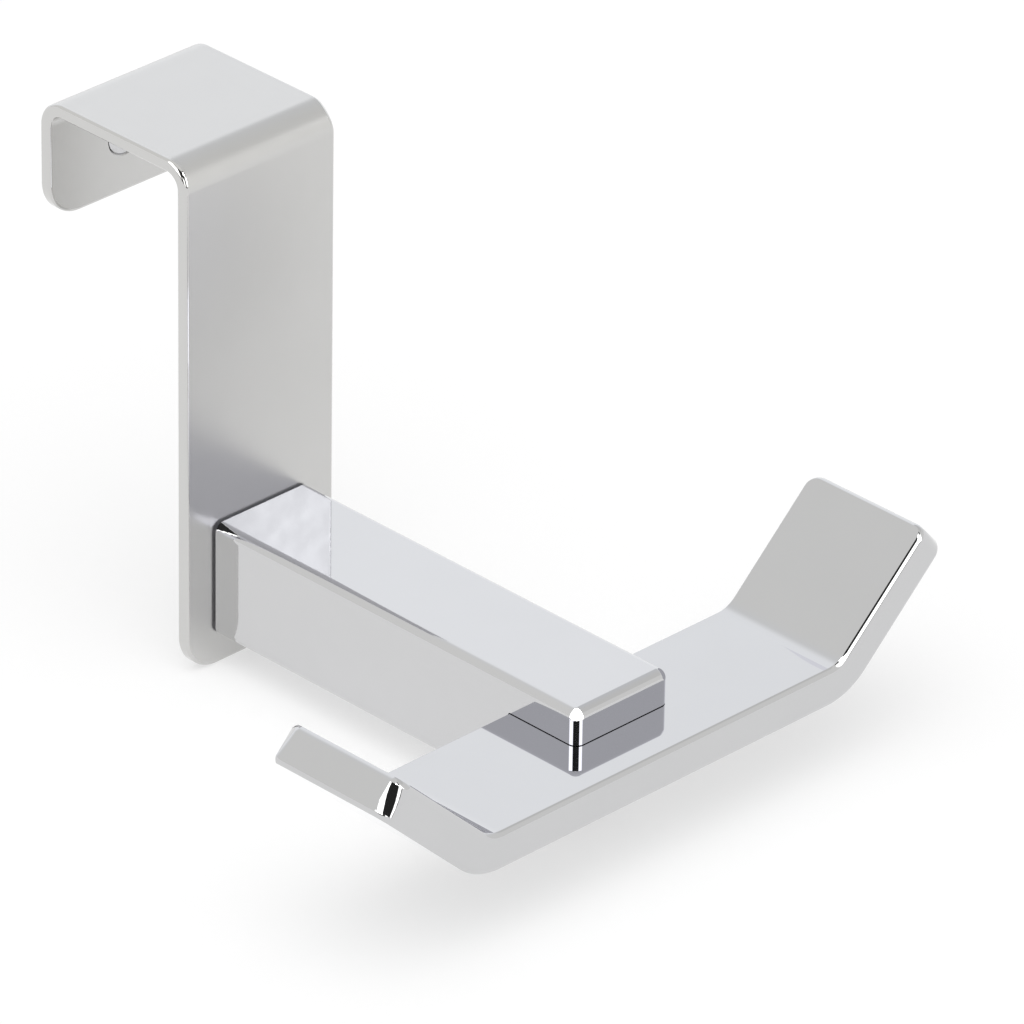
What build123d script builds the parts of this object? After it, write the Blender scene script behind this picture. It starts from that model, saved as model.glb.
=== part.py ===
from build123d import *
import math
import os

# Wardrobe hook. Millimetres.
# Origin at the centre of the bridge's underside, where the hook sits on the door top.
# +Z up, -Y out of the door's front towards the room, +Y towards the return lip.

# Folded strap
STRAP_WIDTH = 25.0
STRAP_THICKNESS = 1.8
DOOR_GAP = 23.0
LEG_HEIGHT = 69.7
LIP_HEIGHT = 15.1
BEND_INNER_RADIUS = 2.0
STRAP_CORNER_RADIUS = 5.0
STRAP_EDGE_ROUND = 0.3

# Arm
ARM_WIDTH = 16.0
ARM_HEIGHT = 16.0
ARM_LENGTH = 64.1
FOOT_BELOW_ARM = 4.3
ARM_EDGE_ROUND = 1.3

# Hook plate: a flat bar with both ends bent up
PLATE_DEPTH = 19.8
PLATE_THICKNESS = 5.3
PLATE_FLAT_WIDTH = 59.6
PLATE_DROP = 4.8
PLATE_OVERHANG = 7.9
PLATE_BEND_RADIUS = 4.5
TAB_LENGTH = 20.2
TAB_ANGLE = 43.0
TAB_CORNER_RADIUS = 2.0
PLATE_EDGE_ROUND = 1.0
SLOT_CLEARANCE = 0.05

# Clamping grub screw in the lip
CLAMP_SCREW_DIAMETER = 5.0
CLAMP_SCREW_LENGTH = 5.0
CLAMP_SCREW_DROP = 7.3
CLAMP_HEX_ACROSS = 2.5
CLAMP_HEX_DEPTH = 2.0
CLAMP_POINT_CHAMFER = 0.15
CLAMP_HOLE_CHAMFER = 0.2

# Countersunk screws through the leg into the arm
ARM_SCREW_COUNT = 2
ARM_SCREW_PITCH = 8.0
ARM_SCREW_DIAMETER = 3.0
ARM_SCREW_HEAD = 5.6
ARM_SCREW_LENGTH = 12.0
ARM_HEX_ACROSS = 2.0
ARM_HEX_DEPTH = 0.9

# Countersunk screw through the arm's lower jaw and the plate
PLATE_SCREW_DIAMETER = 4.0
PLATE_SCREW_HEAD = 7.5
PLATE_SCREW_LENGTH = 14.0
PLATE_HEX_ACROSS = 2.5
PLATE_HEX_DEPTH = 1.4

# Shared screw fits
HEAD_RIM = 0.2
HEAD_RECESS = 0.05
SCREW_CLEARANCE = 0.05
HOLE_RUNOUT = 1.5

LEG_BACK = -DOOR_GAP / 2
LEG_FRONT = LEG_BACK - STRAP_THICKNESS
LIP_FACE = DOOR_GAP / 2
LIP_BACK = LIP_FACE + STRAP_THICKNESS
ARM_BOTTOM = -LEG_HEIGHT + FOOT_BELOW_ARM
ARM_TOP = ARM_BOTTOM + ARM_HEIGHT
ARM_MIDDLE = (ARM_TOP + ARM_BOTTOM) / 2
ARM_END = LEG_FRONT - ARM_LENGTH
PLATE_TOP = ARM_TOP - PLATE_DROP
PLATE_BOTTOM = PLATE_TOP - PLATE_THICKNESS
PLATE_FRONT = ARM_END - PLATE_OVERHANG
PLATE_REAR = PLATE_FRONT + PLATE_DEPTH
PLATE_SCREW_Y = (ARM_END + PLATE_REAR) / 2


def along(point, direction, shape):
    """Moves a shape built along +Z so that it starts at the point and runs that way."""
    side = (0, 0, 1) if abs(direction[2]) < 0.5 else (1, 0, 0)
    return Plane(origin=point, x_dir=side, z_dir=direction) * shape


def hex_recess(across, depth):
    """A hexagon socket that opens at the start of a screw's head."""
    flat = RegularPolygon(across / 2, 6, major_radius=False)
    return extrude(flat, depth)


def countersunk_profile(shaft, head, length):
    """Half outline of a flat-headed screw, from its axis outwards."""
    cone_end = HEAD_RIM + (head - shaft) / 2
    return Polyline(
        (0, 0),
        (head / 2, 0),
        (head / 2, HEAD_RIM),
        (shaft / 2, cone_end),
        (shaft / 2, length - shaft / 10),
        (shaft / 2 - shaft / 10, length),
        (0, length),
        close=True,
    )


def countersunk_screw(shaft, head, length, across, depth):
    """A countersunk screw whose head starts at the origin and whose shaft runs along +Z."""
    outline = make_face(Plane.XZ * countersunk_profile(shaft, head, length))
    return revolve(outline, Axis.Z) - hex_recess(across, depth)


def countersunk_hole(shaft, head, length):
    """The hole for a countersunk screw, a clearance wider and its head a little sunk."""
    bore = shaft / 2 + SCREW_CLEARANCE
    rim = head / 2 + SCREW_CLEARANCE
    cone_start = HEAD_RECESS + HEAD_RIM
    cone_end = cone_start + rim - bore
    outline = Polyline(
        (0, -HOLE_RUNOUT),
        (rim, -HOLE_RUNOUT),
        (rim, cone_start),
        (bore, cone_end),
        (bore, length),
        (0, length),
        close=True,
    )
    return revolve(make_face(Plane.XZ * outline), Axis.Z)


def arm_screw_points():
    """Centres of the leg's screw heads, on the leg's back face."""
    first = ARM_MIDDLE + ARM_SCREW_PITCH * (ARM_SCREW_COUNT - 1) / 2
    return [(0, LEG_BACK, first - ARM_SCREW_PITCH * i) for i in range(ARM_SCREW_COUNT)]


def arm_screw_hole():
    """The hole for one arm screw, through the leg and on into the arm."""
    depth = ARM_SCREW_LENGTH + HOLE_RUNOUT
    return countersunk_hole(ARM_SCREW_DIAMETER, ARM_SCREW_HEAD, depth)


def plate_screw_hole():
    """The hole for the plate screw, up through jaw and plate into the upper jaw."""
    depth = PLATE_SCREW_LENGTH + HEAD_RECESS + SCREW_CLEARANCE
    hole = countersunk_hole(PLATE_SCREW_DIAMETER, PLATE_SCREW_HEAD, depth)
    return along((0, PLATE_SCREW_Y, ARM_BOTTOM), (0, 0, 1), hole)


def strap_outline():
    """Side view of the folded strip, in the YZ plane."""
    outline = Polyline(
        (LEG_FRONT, -LEG_HEIGHT),
        (LEG_FRONT, STRAP_THICKNESS),
        (LIP_BACK, STRAP_THICKNESS),
        (LIP_BACK, -LIP_HEIGHT),
        (LIP_FACE, -LIP_HEIGHT),
        (LIP_FACE, 0),
        (LEG_BACK, 0),
        (LEG_BACK, -LEG_HEIGHT),
        close=True,
    )
    return make_face(Plane.YZ * outline)


def fold_edges(solid, height):
    """The strip's two fold edges at one height, which run across its width."""
    level = solid.edges().filter_by(Axis.X)
    return level.filter_by_position(Axis.Z, height - 0.01, height + 0.01)


def strap_blank():
    """The folded strip with its bends and its rounded end corners, before any hole."""
    blank = extrude(strap_outline(), STRAP_WIDTH / 2, both=True)
    inner = fold_edges(blank, 0)
    blank = fillet(inner, BEND_INNER_RADIUS)
    outer = fold_edges(blank, STRAP_THICKNESS)
    blank = fillet(outer, BEND_INNER_RADIUS + STRAP_THICKNESS)
    uprights = blank.edges().filter_by(Axis.Y)
    ends = [-LEG_HEIGHT, -LIP_HEIGHT]
    corners = [e for e in uprights if any(abs(e.center().Z - z) < 0.01 for z in ends)]
    return fillet(corners, STRAP_CORNER_RADIUS)


def rim_edges(solid):
    """The edges along both sides of the strip and round its ends, not across its folds."""
    return [e for e in solid.edges() if e.geom_type != GeomType.LINE or keeps_rim(e)]


def keeps_rim(edge):
    """Whether a straight edge lies along the strip's rim."""
    box = edge.bounding_box()
    on_side = min(abs(box.min.X), abs(box.max.X)) > STRAP_WIDTH / 2 - 0.01
    across = box.size.X > 0.01
    at_end = any(abs(box.min.Z + h) < 0.01 for h in (LEG_HEIGHT, LIP_HEIGHT))
    return (on_side and not box_is_thin(box)) or (across and at_end)


def box_is_thin(box):
    """Whether an edge only crosses the strip's thickness."""
    return box.size.Y < STRAP_THICKNESS + 0.01 and box.size.Z < 0.01


def make_door_strap():
    """The folded strap with its screw holes."""
    strap = strap_blank()
    strap = fillet(rim_edges(strap), STRAP_EDGE_ROUND)
    for point in arm_screw_points():
        strap -= along(point, (0, -1, 0), arm_screw_hole())
    radius = CLAMP_SCREW_DIAMETER / 2 + SCREW_CLEARANCE
    reach = STRAP_THICKNESS + HOLE_RUNOUT
    drill = Cylinder(radius, reach, align=(Align.CENTER, Align.CENTER, Align.MIN))
    strap -= along((0, LIP_FACE - SCREW_CLEARANCE, -CLAMP_SCREW_DROP), (0, 1, 0), drill)
    mouth = radius + CLAMP_HOLE_CHAMFER
    lead = Cone(mouth, radius, CLAMP_HOLE_CHAMFER, align=(Align.CENTER, Align.CENTER, Align.MIN))
    return strap - along((0, LIP_FACE, -CLAMP_SCREW_DROP), (0, 1, 0), lead)


def make_clamp_screw():
    """The grub screw, its flat point flush with the lip's inner face."""
    radius = CLAMP_SCREW_DIAMETER / 2
    body = Cylinder(radius, CLAMP_SCREW_LENGTH, align=(Align.CENTER, Align.CENTER, Align.MIN))
    body = chamfer(body.edges().filter_by(GeomType.CIRCLE), CLAMP_POINT_CHAMFER)
    body -= hex_recess(CLAMP_HEX_ACROSS, CLAMP_HEX_DEPTH)
    tail = (0, LIP_FACE + CLAMP_SCREW_LENGTH, -CLAMP_SCREW_DROP)
    return along(tail, (0, -1, 0), body)


def make_arm():
    """The bar with its rounded edges, the plate's slot and the screw holes."""
    centre = (0, LEG_FRONT - ARM_LENGTH / 2, ARM_MIDDLE)
    bar = Pos(*centre) * Box(ARM_WIDTH, ARM_LENGTH, ARM_HEIGHT)
    root = bar.faces().sort_by(Axis.Y)[-1]
    rounded = [e for e in bar.edges() if e not in root.edges()]
    bar = fillet(rounded, ARM_EDGE_ROUND)
    depth = PLATE_REAR + SLOT_CLEARANCE - ARM_END
    height = PLATE_THICKNESS + 2 * SLOT_CLEARANCE
    slot = Box(ARM_WIDTH + 2, depth + 2, height)
    middle = PLATE_REAR + SLOT_CLEARANCE - (depth + 2) / 2
    bar -= Pos(0, middle, (PLATE_TOP + PLATE_BOTTOM) / 2) * slot
    for point in arm_screw_points():
        bar -= along(point, (0, -1, 0), arm_screw_hole())
    return bar - plate_screw_hole()


def tab_run():
    """How far a tab reaches sideways and upwards from its fold line, on its inner face."""
    angle = math.radians(TAB_ANGLE)
    return TAB_LENGTH * math.cos(angle), TAB_LENGTH * math.sin(angle)


def plate_outline():
    """Front view of the bent bar, in the XZ plane."""
    angle = math.radians(TAB_ANGLE)
    run, rise = tab_run()
    fold = PLATE_FLAT_WIDTH / 2
    under = fold + PLATE_THICKNESS * math.tan(angle / 2)
    tip = (fold + run, PLATE_TOP + rise)
    heel = (tip[0] + PLATE_THICKNESS * math.sin(angle), tip[1] - PLATE_THICKNESS * math.cos(angle))
    right = [(fold, PLATE_TOP), tip, heel, (under, PLATE_BOTTOM)]
    left = [(-x, z) for x, z in reversed(right)]
    return make_face(Plane.XZ * Polyline(*right, *left, close=True))


def bend_edges(solid, height):
    """The two bend edges at one height of the bent bar, which run along its depth."""
    level = solid.edges().filter_by(Axis.Y)
    return level.filter_by_position(Axis.Z, height - 0.01, height + 0.01)


def make_hook_plate():
    """The bent bar with rounded tab corners, rounded edges and its screw hole."""
    outline = Pos(0, PLATE_REAR, 0) * plate_outline()
    plate = extrude(outline, PLATE_DEPTH, dir=(0, -1, 0))
    plate = fillet(bend_edges(plate, PLATE_TOP), PLATE_BEND_RADIUS)
    plate = fillet(bend_edges(plate, PLATE_BOTTOM), PLATE_BEND_RADIUS + PLATE_THICKNESS)
    tips = [f for f in plate.faces() if abs(f.center().X) > PLATE_FLAT_WIDTH / 2 + tab_run()[0]]
    corners = [e for f in tips for e in f.edges() if abs(e.tangent_at(0.5).Y) < 0.01]
    plate = fillet(corners, TAB_CORNER_RADIUS)
    sides = [f for f in plate.faces() if abs(f.normal_at().Y) > 0.99]
    rims = [e for f in sides for e in f.edges()]
    plate = fillet(rims, PLATE_EDGE_ROUND)
    return plate - plate_screw_hole()


def make_arm_screws():
    """The screws through the leg, their heads just under its back face."""
    screws = {}
    for number, point in enumerate(arm_screw_points(), 1):
        screw = countersunk_screw(
            ARM_SCREW_DIAMETER, ARM_SCREW_HEAD, ARM_SCREW_LENGTH, ARM_HEX_ACROSS, ARM_HEX_DEPTH
        )
        seat = (point[0], point[1] - HEAD_RECESS, point[2])
        screws[f"arm_screw_{number}"] = along(seat, (0, -1, 0), screw)
    return screws


def make_plate_screw():
    """The screw that holds the plate in the arm's slot, its head in the lower jaw."""
    screw = countersunk_screw(
        PLATE_SCREW_DIAMETER, PLATE_SCREW_HEAD, PLATE_SCREW_LENGTH, PLATE_HEX_ACROSS, PLATE_HEX_DEPTH
    )
    return along((0, PLATE_SCREW_Y, ARM_BOTTOM + HEAD_RECESS), (0, 0, 1), screw)


def build_nodes():
    """Every piece of the hook, by name."""
    nodes = {
        "door_strap": make_door_strap(),
        "clamp_screw": make_clamp_screw(),
        "arm": make_arm(),
        "hook_plate": make_hook_plate(),
        "plate_screw": make_plate_screw(),
    }
    nodes.update(make_arm_screws())
    return nodes


os.makedirs("parts", exist_ok=True)
for name, solid in build_nodes().items():
    export_step(solid, f"parts/{name}.step")
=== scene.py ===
"""Wardrobe hook: a door-top coat hook of polished chrome, dressed for a plain studio view."""
import logging
import math
from collections.abc import Callable
from dataclasses import dataclass, field
from enum import Enum
from functools import partial

import bpy
from bpy.types import ID, Material, Node, NodeSocket, Object
from mathutils import Matrix, Vector


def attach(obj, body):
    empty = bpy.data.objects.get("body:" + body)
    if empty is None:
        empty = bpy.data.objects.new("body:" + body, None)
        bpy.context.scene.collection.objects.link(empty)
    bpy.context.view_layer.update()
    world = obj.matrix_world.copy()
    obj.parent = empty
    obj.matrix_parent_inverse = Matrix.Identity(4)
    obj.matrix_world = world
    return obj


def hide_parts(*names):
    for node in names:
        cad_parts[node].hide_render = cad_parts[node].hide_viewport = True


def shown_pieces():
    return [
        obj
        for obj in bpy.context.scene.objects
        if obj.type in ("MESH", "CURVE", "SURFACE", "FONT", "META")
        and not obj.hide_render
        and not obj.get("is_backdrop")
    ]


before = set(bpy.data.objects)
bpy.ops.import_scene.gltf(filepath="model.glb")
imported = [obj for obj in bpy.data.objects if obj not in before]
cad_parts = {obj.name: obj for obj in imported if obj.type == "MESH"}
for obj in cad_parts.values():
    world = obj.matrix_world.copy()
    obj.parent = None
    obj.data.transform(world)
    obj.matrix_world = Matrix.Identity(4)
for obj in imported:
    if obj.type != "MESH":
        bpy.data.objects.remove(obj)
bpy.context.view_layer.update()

LOG = logging.getLogger("wardrobe_hook")
MM = 0.001
X, Y, Z = Vector((1, 0, 0)), Vector((0, 1, 0)), Vector((0, 0, 1))
HOLE_TURNS = [2 * math.pi * k / 64 for k in range(64)]
HEAD_RECESS = 0.05
MERGE_STEPS = 20000  # vertex places in steps per millimetre
ECHO_DEPTH = 1.5  # glossy depth between first reflections and echoes
Colour = tuple[float, float, float]
Corner = tuple[Vector, Vector]  # place in millimetres and normal
Station = tuple[float, float, float, float]  # centre, then outward direction
Profile = tuple[tuple[float, float], ...]  # radius and depth of each ring of a hole


class Slot(Enum):
    """The record's material slots."""

    STRAP = "strap_chrome"
    ARM = "arm_chrome"
    PLATE = "plate_chrome"
    SCREW = "screw_steel"


class Sight(Enum):
    """Which reflections show a panel of the tent."""

    ALL = "all"
    FIRST = "first"
    ECHO = "echo"


def quarter_turn(steps: int) -> list[tuple[float, float]]:
    """Returns cosine and sine at each step of a quarter turn, with an exact last step."""
    return [(math.cos(math.pi / 2 * k / steps), math.sin(math.pi / 2 * k / steps)) for k in range(steps)] + [(0.0, 1.0)]


class Nodes:
    """A material's or world's node tree with short calls for adding and joining nodes."""

    def __init__(self, owner: ID) -> None:
        """Empties the owner's node tree.

        Args:
            owner: the material or world whose nodes are built.
        """
        owner.use_nodes = True
        self.tree = owner.node_tree
        self.tree.nodes.clear()

    def add(self, kind: str, **values: object) -> Node:
        """Adds a node.

        Args:
            kind: the node's type name.
            values: attributes of the node, and its inputs by name with spaces as underscores.

        Returns:
            The new node.
        """
        node = self.tree.nodes.new(kind)
        for name, value in values.items():
            if hasattr(node, name):
                setattr(node, name, value)
            else:
                node.inputs[name.replace("_", " ")].default_value = value
        return node

    def join(self, source: NodeSocket, target: NodeSocket) -> None:
        """Links one socket to another."""
        self.tree.links.new(source, target)

    def math(self, kind: str, a: object, b: object = 0.0, c: object = 0.0) -> NodeSocket:
        """Adds a Math node.

        Args:
            kind: the operation.
            a: first value, a number or a socket.
            b: second value.
            c: third value.

        Returns:
            The node's output socket.
        """
        node = self.tree.nodes.new("ShaderNodeMath")
        node.operation = kind
        for k, value in enumerate((a, b, c)):
            if isinstance(value, NodeSocket):
                self.join(value, node.inputs[k])
            else:
                node.inputs[k].default_value = value
        return node.outputs[0]

    def smooth(self, value: NodeSocket, low: float, high: float, start: float = 0.0, end: float = 1.0) -> NodeSocket:
        """Adds a smooth step.

        Args:
            value: the socket to map.
            low: the value where the step starts.
            high: the value where the step ends.
            start: the result up to low.
            end: the result from high on.

        Returns:
            The mapped socket.
        """
        node = self.add("ShaderNodeMapRange", interpolation_type="SMOOTHSTEP")
        self.join(value, node.inputs["Value"])
        for name, number in (("From Min", low), ("From Max", high), ("To Min", start), ("To Max", end)):
            node.inputs[name].default_value = number
        return node.outputs["Result"]

    def blend(self, factor: NodeSocket, first: object, second: object) -> NodeSocket:
        """Mixes two colours.

        Args:
            factor: the mix's factor.
            first: the colour at factor 0, as three numbers or a socket.
            second: the colour at factor 1, in the same form.

        Returns:
            The mixed colour's socket.
        """
        node = self.add("ShaderNodeMix", data_type="RGBA")
        for name, colour in (("A", first), ("B", second)):
            if isinstance(colour, NodeSocket):
                self.join(colour, node.inputs[name])
            else:
                node.inputs[name].default_value = (*colour, 1)
        self.join(factor, node.inputs["Factor"])
        return node.outputs["Result"]

    def show(self, kind: str, factor: NodeSocket, first: Node, second: Node) -> None:
        """Mixes two shaders and joins them to a new output.

        Args:
            kind: the output node's type name.
            factor: the mix's factor.
            first: the shader at factor 0.
            second: the shader at factor 1.
        """
        mix = self.add("ShaderNodeMixShader")
        for k, source in enumerate((factor, first.outputs[0], second.outputs[0])):
            self.join(source, mix.inputs[k])
        self.join(mix.outputs[0], self.add(kind).inputs["Surface"])

    def metal(self) -> tuple[Node, NodeSocket]:
        """Adds a bare metal shader with its output.

        Returns:
            The shader, and the socket of the object's own coordinates.
        """
        shader = self.add("ShaderNodeBsdfPrincipled", Metallic=1.0)
        self.join(shader.outputs["BSDF"], self.add("ShaderNodeOutputMaterial").inputs["Surface"])
        return shader, self.add("ShaderNodeTexCoord").outputs["Object"]

    def noise(self, place: NodeSocket, scale: float, detail: float) -> NodeSocket:
        """Adds a noise texture.

        Args:
            place: the coordinates.
            scale: its scale.
            detail: its detail.

        Returns:
            The noise's value.
        """
        node = self.add("ShaderNodeTexNoise", Scale=scale, Detail=detail)
        self.join(place, node.inputs["Vector"])
        return node.outputs["Fac"]

    def bump(self, height: NodeSocket, strength: float, depth: float, shader: Node) -> None:
        """Adds a bump to a shader.

        Args:
            height: the bump's height.
            strength: its strength.
            depth: its depth in metres.
            shader: takes the bumped normal.
        """
        node = self.add("ShaderNodeBump", Strength=strength, Distance=depth)
        self.join(height, node.inputs["Height"])
        self.join(node.outputs["Normal"], shader.inputs["Normal"])


@dataclass(frozen=True)
class PolishedChrome:
    """Plated and polished steel: a soft haze, faint polishing waves and a trace of wear on its edges."""

    name: str
    tone: Colour = (0.58, 0.58, 0.585)
    haze: float = 0.06
    haze_spread: float = 0.02
    edge_wear: float = 0.03
    wave_depth: float = 0.02
    wave_height: float = 0.5
    wave_size: float = 90.0
    cloud_share: float = 0.015
    cloud_size: float = 120.0
    grain_size: float = 420.0

    def material(self) -> Material:
        """Builds the material.

        Returns:
            The material, in the object's own coordinates.
        """
        mat = bpy.data.materials.new(self.name)
        n = Nodes(mat)
        shader, place = n.metal()
        dark = [(1 - self.cloud_share) * c for c in self.tone]
        light = [(1 + self.cloud_share) * c for c in self.tone]
        n.join(n.blend(n.noise(place, self.cloud_size, 3.0), dark, light), shader.inputs["Base Color"])
        rough = n.smooth(n.noise(place, self.grain_size, 4.0), 0.3, 0.7,
                         self.haze - self.haze_spread, self.haze + self.haze_spread)
        edge = n.smooth(n.add("ShaderNodeNewGeometry").outputs["Pointiness"], 0.53, 0.62, 0.0, self.edge_wear)
        n.join(n.math("ADD", rough, edge), shader.inputs["Roughness"])
        n.bump(n.noise(place, self.wave_size, 1.0), self.wave_depth, self.wave_height * MM, shader)
        return mat


@dataclass(frozen=True)
class TurnedSteel:
    """Bright steel of a screw, with fine turning marks, and painted shade that darkens its hollows."""

    name: str
    tone: Colour = (0.60, 0.60, 0.61)
    haze: float = 0.22
    haze_spread: float = 0.06
    # Painted shade: share of the tone left in the hollows.
    hollow_shade_share: float = 0.45
    mark_size: float = 2600.0
    mark_depth: float = 0.25
    mark_height: float = 0.02

    def material(self) -> Material:
        """Builds the material.

        Returns:
            The material, in the object's own coordinates.
        """
        mat = bpy.data.materials.new(self.name)
        n = Nodes(mat)
        shader, place = n.metal()
        marks = n.noise(place, self.mark_size, 2.0)
        # Painted shade: the base colour darkens to a share of the tone in hollows.
        hollow_shade = n.smooth(n.add("ShaderNodeNewGeometry").outputs["Pointiness"], 0.40, 0.52)
        dark = [self.hollow_shade_share * c for c in self.tone]
        n.join(n.blend(hollow_shade, dark, self.tone), shader.inputs["Base Color"])
        n.join(n.smooth(marks, 0.3, 0.7, self.haze - self.haze_spread, self.haze + self.haze_spread),
               shader.inputs["Roughness"])
        n.bump(marks, self.mark_depth, self.mark_height * MM, shader)
        return mat


class Skin:
    """Faces with exact corner normals, gathered into one closed mesh."""

    def __init__(self) -> None:
        """Starts with no faces."""
        self.points: list[Vector] = []
        self.index: dict[tuple[int, int, int], int] = {}
        self.faces: list[list[int]] = []
        self.normals: list[Vector] = []
        self.finishes: list[int] = []
        self.finish = 0

    def point(self, place: Vector) -> int:
        """Finds the vertex at a place, and adds it if it is new.

        Args:
            place: the place in millimetres.

        Returns:
            The vertex's number.
        """
        key = tuple(round(c * MERGE_STEPS) for c in place)
        if key not in self.index:
            self.index[key] = len(self.points)
            self.points.append(place * MM)
        return self.index[key]

    def face(self, corners: list[Corner]) -> None:
        """Adds a face whose front looks the way of its normals.

        Args:
            corners: place in millimetres and normal of each corner, in order round the face.
        """
        kept = [(self.point(p), n, p) for p, n in corners]
        kept = [c for k, c in enumerate(kept) if c[0] != kept[k - 1][0]]
        if len({c[0] for c in kept}) < 3:
            return
        area = Vector()
        for k, corner in enumerate(kept):
            area += (kept[k - 1][2] - kept[0][2]).cross(corner[2] - kept[0][2])
        if area.dot(sum((c[1] for c in kept), Vector())) < 0:
            kept.reverse()
        self.faces.append([c[0] for c in kept])
        self.finishes.append(self.finish)
        self.normals.extend(c[1] for c in kept)

    def flat(self, places: list[Vector], normal: Vector) -> None:
        """Adds a flat face with one normal."""
        self.face([(p, normal) for p in places])

    def strip(self, first: list[Corner], second: list[Corner]) -> None:
        """Joins two closed rows of corners with a band of four-sided faces."""
        for k in range(len(first)):
            self.face([first[k - 1], first[k], second[k], second[k - 1]])

    def round_opening(self, corners: list[Vector], circle: list[Vector], normal: Vector) -> None:
        """Fills between a four-cornered field and a circle in it.

        Args:
            corners: the field's corners, in order.
            circle: the circle's points, in order and the same way round.
            normal: the face's normal.
        """
        middle = sum(circle, Vector()) / len(circle)
        near = [min(range(len(circle)), key=lambda i: -(circle[i] - middle).normalized().dot((c - middle).normalized()))
                for c in corners]
        for k in range(len(corners)):
            i, j = near[k - 1], near[k]
            span = (j - i) % len(circle)
            arc = [circle[(i + s) % len(circle)] for s in range(span + 1)]
            self.flat([corners[k - 1], corners[k], *reversed(arc)], normal)

    def bore(self, centre: Vector, way: Vector, profile: Profile,
             circle: Callable[[float, float], list[Vector]]) -> None:
        """Lines a round hole.

        Args:
            centre: the middle of the hole's mouth.
            way: the direction into the hole.
            profile: radius and depth of each ring.
            circle: gives a ring's points for its radius and depth.
        """
        for (r0, d0), (r1, d1) in zip(profile, profile[1:]):
            rows = []
            for radius, depth in ((r0, d0), (r1, d1)):
                inward = [(p, (centre + way * depth - p).normalized()) for p in circle(radius, depth)]
                rows.append([(p, (n * (d1 - d0) + way * (r1 - r0)).normalized()) for p, n in inward])
            self.strip(*rows)

    def piece(self, name: str, nodes: tuple[str, ...], place: Slot, *mats: Material) -> Object:
        """Makes the object that stands for CAD nodes.

        Args:
            name: the piece's name.
            nodes: the nodes that it stands for.
            place: the record's material slot; not used.
            mats: its materials, in the order of the finish numbers.

        Returns:
            The object.
        """
        mesh = bpy.data.meshes.new(name)
        mesh.from_pydata(self.points, [], self.faces)
        mesh.polygons.foreach_set("use_smooth", [True] * len(self.faces))
        for mat in mats:
            mesh.materials.append(mat)
        mesh.polygons.foreach_set("material_index", self.finishes)
        mesh.update()
        mesh.normals_split_custom_set(self.normals)
        obj = bpy.data.objects.new(name, mesh)
        bpy.context.scene.collection.objects.link(obj)
        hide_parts(*nodes)
        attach(obj, "root")
        LOG.info("%s: %d faces for %s", name, len(self.faces), ", ".join(nodes))
        return obj


@dataclass(frozen=True)
class FoldLine:
    """The side view of a bent strip's inner face: straight runs joined by bends.

    The start is in the plane of the two axes, and angles are in degrees.
    """

    start: tuple[float, float]
    heading: float
    runs: tuple[float, ...]
    turns: tuple[float, ...]
    radius: float
    first_axis: Vector
    second_axis: Vector

    def length(self) -> float:
        """Returns the whole length, bends included."""
        return sum(self.runs) + sum(math.radians(abs(t)) * self.radius for t in self.turns)

    def bend_spans(self) -> list[tuple[float, float]]:
        """Finds the bends.

        Returns:
            Where along the line each bend starts and ends.
        """
        spans, u = [], 0.0
        for run, turn in zip(self.runs, self.turns):
            u += run
            spans.append((u, u + math.radians(abs(turn)) * self.radius))
            u = spans[-1][1]
        return spans

    def at(self, u: float) -> tuple[Vector, Vector, Vector]:
        """Finds a place along the line.

        Args:
            u: the length from the start.

        Returns:
            The place, the direction along the line and the direction of the strip's thickness.
        """
        spot = Vector(self.start)
        angle = math.radians(self.heading)
        side = -1 if self.turns[0] > 0 else 1
        for k, run in enumerate(self.runs):
            ahead = Vector((math.cos(angle), math.sin(angle)))
            if u <= run or k == len(self.runs) - 1:
                spot = spot + ahead * u
                break
            spot = spot + ahead * run
            u -= run
            turn = math.radians(self.turns[k])
            part = min(u / (abs(turn) * self.radius), 1.0)
            centre = spot - Vector((-ahead.y, ahead.x)) * side * self.radius
            angle += turn * part
            spot = centre + Vector((-math.sin(angle), math.cos(angle))) * side * self.radius
            if part < 1.0:
                break
            u -= abs(turn) * self.radius
        along = self.first_axis * math.cos(angle) + self.second_axis * math.sin(angle)
        outward = (self.second_axis * math.cos(angle) - self.first_axis * math.sin(angle)) * side
        return self.first_axis * spot.x + self.second_axis * spot.y, along, outward


@dataclass(frozen=True)
class Opening:
    """A round hole through a bent strip: its place along the line, and its rings from the inner face outwards."""

    at: float
    profile: Profile


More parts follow.
